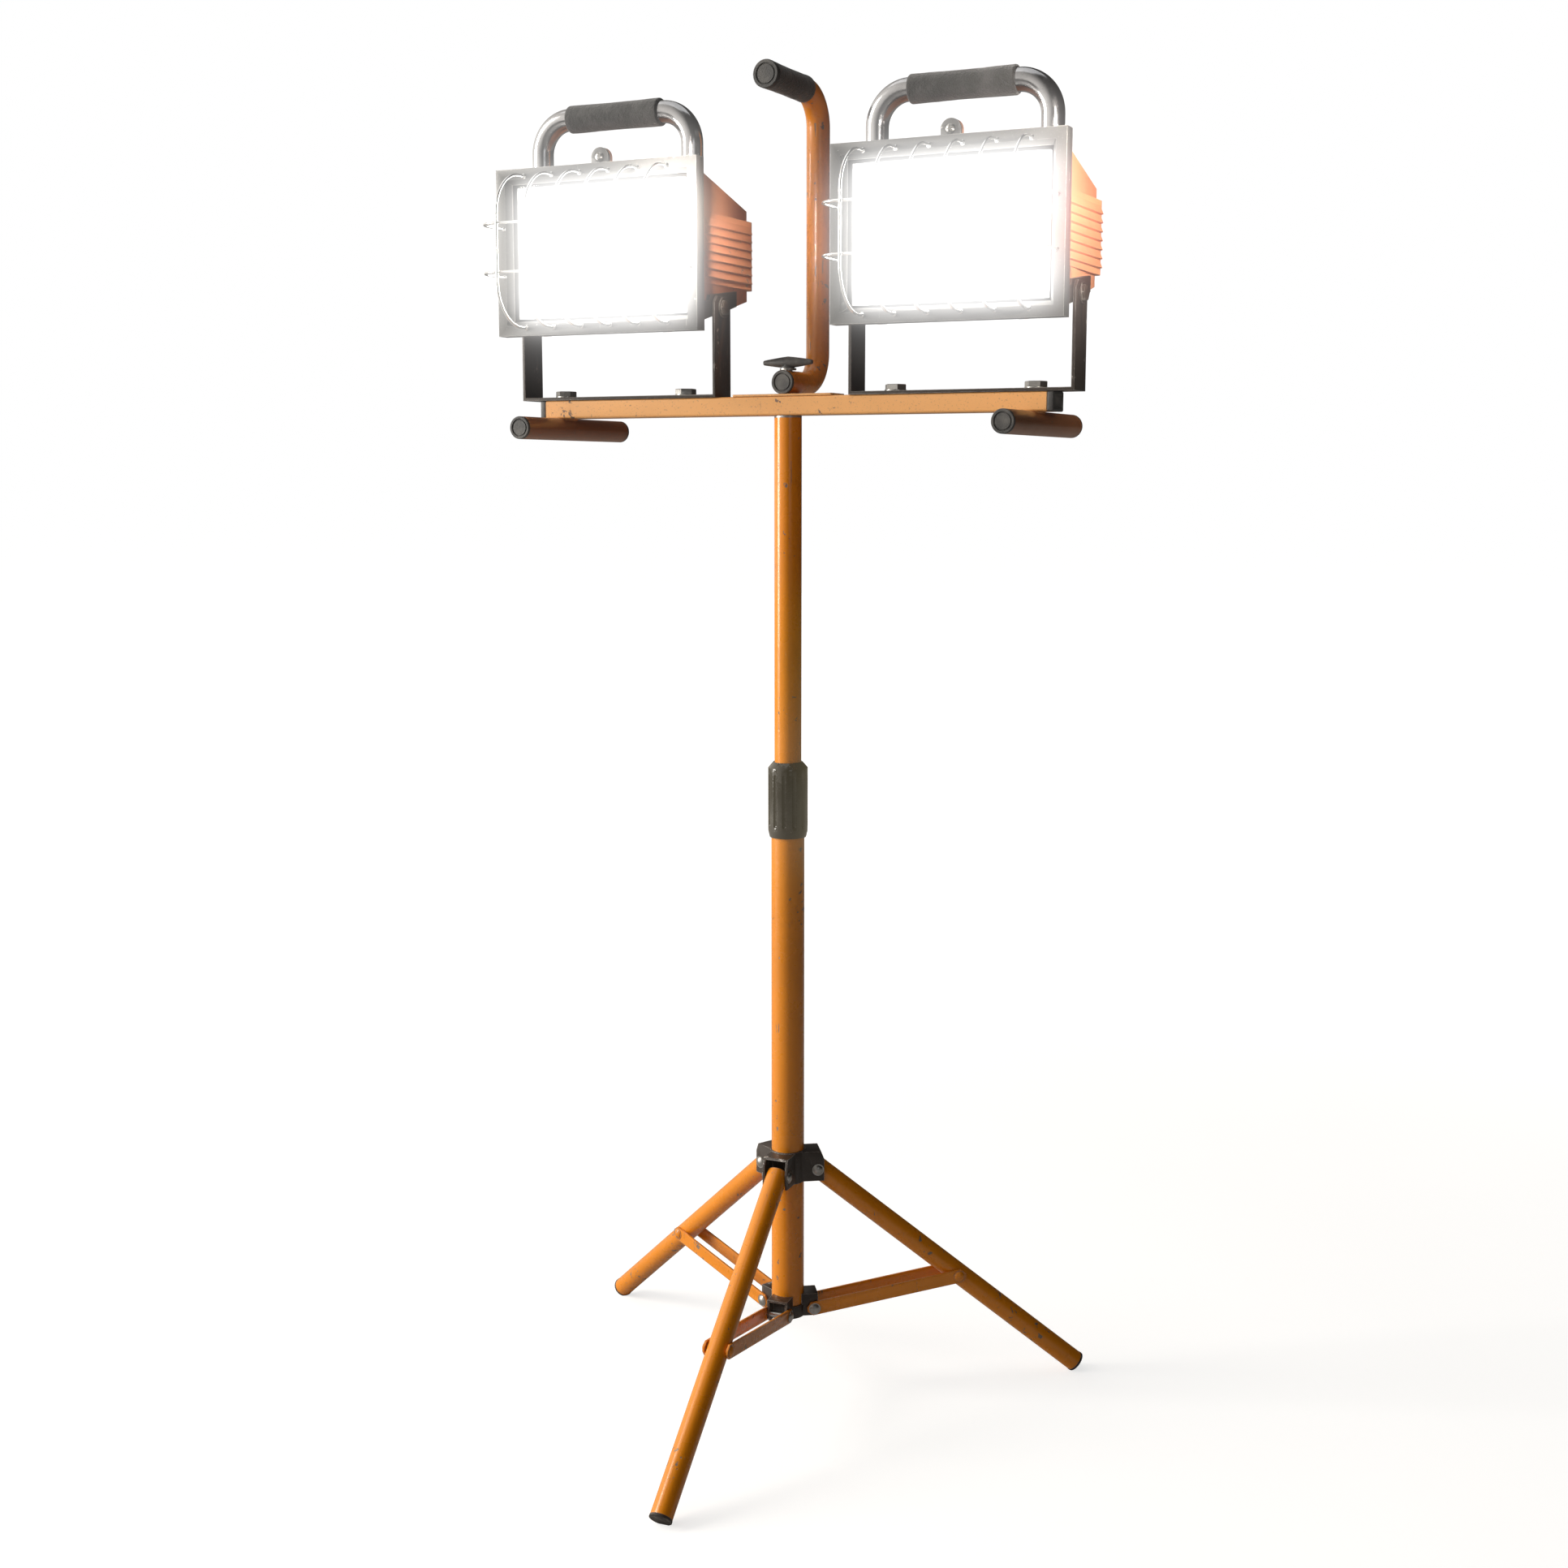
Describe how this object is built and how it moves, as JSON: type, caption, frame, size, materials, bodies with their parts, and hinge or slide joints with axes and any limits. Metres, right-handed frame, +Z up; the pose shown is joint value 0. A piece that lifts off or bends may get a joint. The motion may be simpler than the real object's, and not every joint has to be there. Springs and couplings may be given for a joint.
{
  "type": "work light",
  "caption": "Twin-head halogen work light on a folding telescopic tripod, with tilting guarded heads on a crossbar and a foam-gripped carrying handle.",
  "frame": {"origin": "on the floor, on the axis of the mast", "axes": "+Z up along the mast, X along the crossbar, both heads facing -Y"},
  "size_m": [0.5596, 0.4666, 1.2353],
  "materials": {
    "tripod_paint": "gloss orange paint, chipped and scuffed",
    "rest_paint": "brown-orange paint, dull and worn",
    "bar_paint": "satin orange paint, speckled",
    "dark_steel": "dark brown-black painted pressed steel",
    "zinc": "zinc plated",
    "black_plastic": "moulded, fine grain",
    "ring_plastic": "glossy moulded",
    "cap_plastic": "moulded grey-black",
    "foam": "closed-cell foam sleeve",
    "foot_rubber": "matt rubber",
    "cast_orange": "satin orange powder coat on cast aluminium",
    "bezel_grey": "satin grey paint on cast aluminium",
    "reflector_sheet": "bright anodised",
    "lamp_quartz": "lit halogen tube",
    "ceramic": "unglazed",
    "front_glass": "toughened, lit from behind",
    "seal_rubber": "silicone strip",
    "guard_wire": "plated wire",
    "handle_steel": "plated tube"
  },
  "bodies": {
    "stand": {"lower_tube": "tripod_paint", "grip_wedge": "black_plastic", "tube_plug": "black_plastic", "bottom_hub": "dark_steel", "hub_pins": "zinc"},
    "leg_collar": {"leg_collar": "dark_steel", "leg_pins": "zinc"},
    "lock_ring": {"lock_ring": "ring_plastic"},
    "mast": {"upper_tube": "tripod_paint", "slide_bush": "black_plastic", "mast_spigot": "zinc"},
    "crossbar": {"crossbar": "bar_paint", "end_caps": "cap_plastic", "rest_tube_left": "rest_paint", "rest_tube_right": "rest_paint", "saddle_plate": "bar_paint", "handle_tube": "tripod_paint", "handle_foam": "foam", "yoke_left": "dark_steel", "yoke_right": "dark_steel", "yoke_bolts": "zinc"},
    "clamp": {"clamp_screw": "zinc", "clamp_knob": "cap_plastic"},
    "leg_1": {"leg_tube_1": "tripod_paint", "foot_cap_1": "foot_rubber"},
    "brace_1": {"brace_1": "tripod_paint"},
    "leg_2": {"leg_tube_2": "tripod_paint", "foot_cap_2": "foot_rubber"},
    "brace_2": {"brace_2": "tripod_paint"},
    "leg_3": {"leg_tube_3": "tripod_paint", "foot_cap_3": "foot_rubber"},
    "brace_3": {"brace_3": "tripod_paint"},
    "head_left": {"housing_left": "cast_orange", "side_covers_left": "cast_orange", "reflector_left": "reflector_sheet", "halogen_tube_left": "lamp_quartz", "lamp_holders_left": "ceramic", "tilt_mounts_left": "dark_steel", "head_handle_left": "handle_steel", "head_foam_left": "foam", "cable_gland_left": "black_plastic"},
    "door_left": {"bezel_left": "bezel_grey", "glass_left": "front_glass", "door_seal_left": "seal_rubber", "wire_guard_left": "guard_wire", "door_hardware_left": "zinc"},
    "head_right": {"housing_right": "cast_orange", "side_covers_right": "cast_orange", "reflector_right": "reflector_sheet", "halogen_tube_right": "lamp_quartz", "lamp_holders_right": "ceramic", "tilt_mounts_right": "dark_steel", "head_handle_right": "handle_steel", "head_foam_right": "foam", "cable_gland_right": "black_plastic"},
    "door_right": {"bezel_right": "bezel_grey", "glass_right": "front_glass", "door_seal_right": "seal_rubber", "wire_guard_right": "guard_wire", "door_hardware_right": "zinc"}
  },
  "joints": [
    {"name": "leg_fold", "type": "slide", "parent": "stand", "child": "leg_collar", "axis": [0, 0, 1], "range_m": [0, 0.1852]},
    {"name": "leg_hinge_1", "type": "hinge", "parent": "leg_collar", "child": "leg_1", "pos_m": [0.02277, 0.01536, 0.223], "axis": [-0.5592, 0.829, 0], "range_deg": [0, 47.06]},
    {"name": "brace_hinge_1", "type": "hinge", "parent": "stand", "child": "brace_1", "pos_m": [0.02031, 0.0137, 0.0835], "axis": [0.5592, -0.829, 0], "range_deg": [0, 74.81]},
    {"name": "leg_hinge_2", "type": "hinge", "parent": "leg_collar", "child": "leg_2", "pos_m": [-0.02468, 0.01204, 0.223], "axis": [-0.4384, -0.8988, 0], "range_deg": [0, 47.06]},
    {"name": "brace_hinge_2", "type": "hinge", "parent": "stand", "child": "brace_2", "pos_m": [-0.02202, 0.01074, 0.0835], "axis": [0.4384, 0.8988, 0], "range_deg": [0, 74.81]},
    {"name": "leg_hinge_3", "type": "hinge", "parent": "leg_collar", "child": "leg_3", "pos_m": [0.00192, -0.02739, 0.223], "axis": [0.9976, 0.0698, 0], "range_deg": [0, 47.06]},
    {"name": "brace_hinge_3", "type": "hinge", "parent": "stand", "child": "brace_3", "pos_m": [0.00171, -0.02444, 0.0835], "axis": [-0.9976, -0.0698, 0], "range_deg": [0, 74.81]},
    {"name": "lock_turn", "type": "hinge", "parent": "stand", "child": "lock_ring", "pos_m": [0, 0, 0.58], "axis": [0, 0, 1], "range_deg": [0, 60]},
    {"name": "mast_slide", "type": "slide", "parent": "stand", "child": "mast", "axis": [0, 0, 1], "range_m": [-0.3, 0.1]},
    {"name": "bar_swivel", "type": "hinge", "parent": "mast", "child": "crossbar", "pos_m": [0, 0, 0.9328], "axis": [0, 0, 1], "continuous": true},
    {"name": "clamp_turn", "type": "hinge", "parent": "crossbar", "child": "clamp", "pos_m": [0, 0, 0.9801], "axis": [0, 0, 1], "range_deg": [0, 360]},
    {"name": "tilt_left", "type": "hinge", "parent": "crossbar", "child": "head_left", "pos_m": [-0.1705, 0, 1.0308], "axis": [-1, 0, 0], "range_deg": [-37, 75]},
    {"name": "door_swing_left", "type": "hinge", "parent": "head_left", "child": "door_left", "pos_m": [-0.1705, -0.0345, 1.0105], "axis": [1, 0, 0], "range_deg": [0, 95]},
    {"name": "tilt_right", "type": "hinge", "parent": "crossbar", "child": "head_right", "pos_m": [0.1705, 0, 1.0308], "axis": [-1, 0, 0], "range_deg": [-37, 75]},
    {"name": "door_swing_right", "type": "hinge", "parent": "head_right", "child": "door_right", "pos_m": [0.1705, -0.0345, 1.0105], "axis": [1, 0, 0], "range_deg": [0, 95]}
  ],
  "couplings": [
    {"joint": "leg_hinge_1", "follows": "leg_fold", "rad_per_m": 4.43},
    {"joint": "brace_hinge_1", "follows": "leg_fold", "rad_per_m": 7.045},
    {"joint": "leg_hinge_2", "follows": "leg_fold", "rad_per_m": 4.43},
    {"joint": "brace_hinge_2", "follows": "leg_fold", "rad_per_m": 7.045},
    {"joint": "leg_hinge_3", "follows": "leg_fold", "rad_per_m": 4.43},
    {"joint": "brace_hinge_3", "follows": "leg_fold", "rad_per_m": 7.045}
  ]
}
